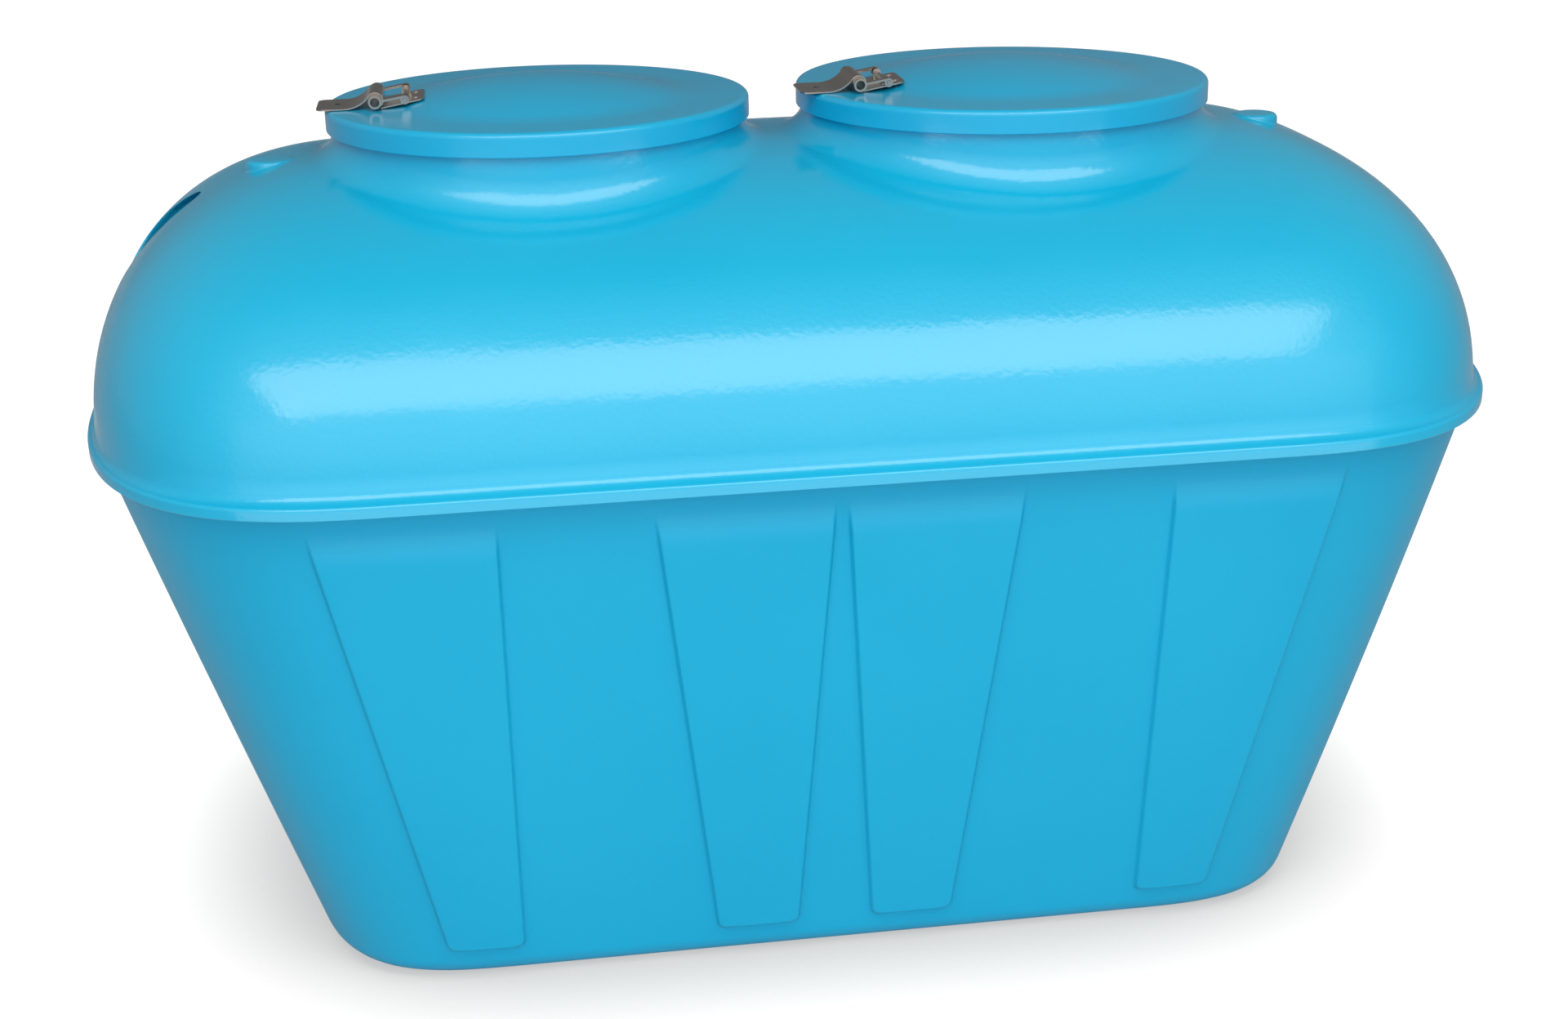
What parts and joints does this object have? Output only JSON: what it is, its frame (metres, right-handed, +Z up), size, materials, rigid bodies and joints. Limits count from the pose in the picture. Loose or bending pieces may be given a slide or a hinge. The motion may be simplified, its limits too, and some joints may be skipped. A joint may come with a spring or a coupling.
{
  "type": "septic tank",
  "caption": "Glass-fibre septic tank: tapered tub with stiffening panels, domed top with manhole necks, lift-off lids, each with a stainless over-centre latch.",
  "frame": {"origin": "middle of the flat base", "axes": "+X along the tank, +Z up, -Y is the side seen from the front"},
  "size_m": [2.02, 1.26, 1.202],
  "materials": {
    "gelcoat": "glossy gelcoat over glass-fibre laminate",
    "stainless": "polished stainless steel",
    "rubber": "matt moulded rubber",
    "bonding_paste": "cured polyester bonding paste"
  },
  "bodies": {
    "tank": {"tub": "gelcoat", "bond_seal": "bonding_paste", "dome": "gelcoat"},
    "lid_left_body": {"lid_left": "gelcoat", "gasket_left": "rubber", "latch_plate_left": "stainless", "latch_pin_left": "stainless", "latch_rivets_left": "stainless"},
    "link_left_body": {"latch_link_left": "stainless"},
    "lever_left_body": {"latch_lever_left": "stainless"},
    "lid_right_body": {"lid_right": "gelcoat", "gasket_right": "rubber", "latch_plate_right": "stainless", "latch_pin_right": "stainless", "latch_rivets_right": "stainless"},
    "link_right_body": {"latch_link_right": "stainless"},
    "lever_right_body": {"latch_lever_right": "stainless"}
  },
  "joints": [
    {"name": "lid_left_lift", "type": "slide", "parent": "tank", "child": "lid_left_body", "axis": [0, 0, 1], "range_m": [0, 0.3]},
    {"name": "link_left_swing", "type": "hinge", "parent": "lid_left_body", "child": "link_left_body", "pos_m": [-0.535, -0.015, 1.1893], "axis": [0, 1, 0], "range_deg": [0, 75]},
    {"name": "lever_left_turn", "type": "hinge", "parent": "link_left_body", "child": "lever_left_body", "pos_m": [-0.577, -0.015, 1.1878], "axis": [0, 1, 0], "range_deg": [0, 110]},
    {"name": "lid_right_lift", "type": "slide", "parent": "tank", "child": "lid_right_body", "axis": [0, 0, 1], "range_m": [0, 0.3]},
    {"name": "link_right_swing", "type": "hinge", "parent": "lid_right_body", "child": "link_right_body", "pos_m": [0.155, -0.05, 1.1893], "axis": [0, 1, 0], "range_deg": [0, 75]},
    {"name": "lever_right_turn", "type": "hinge", "parent": "link_right_body", "child": "lever_right_body", "pos_m": [0.113, -0.05, 1.1878], "axis": [0, 1, 0], "range_deg": [0, 110]}
  ]
}
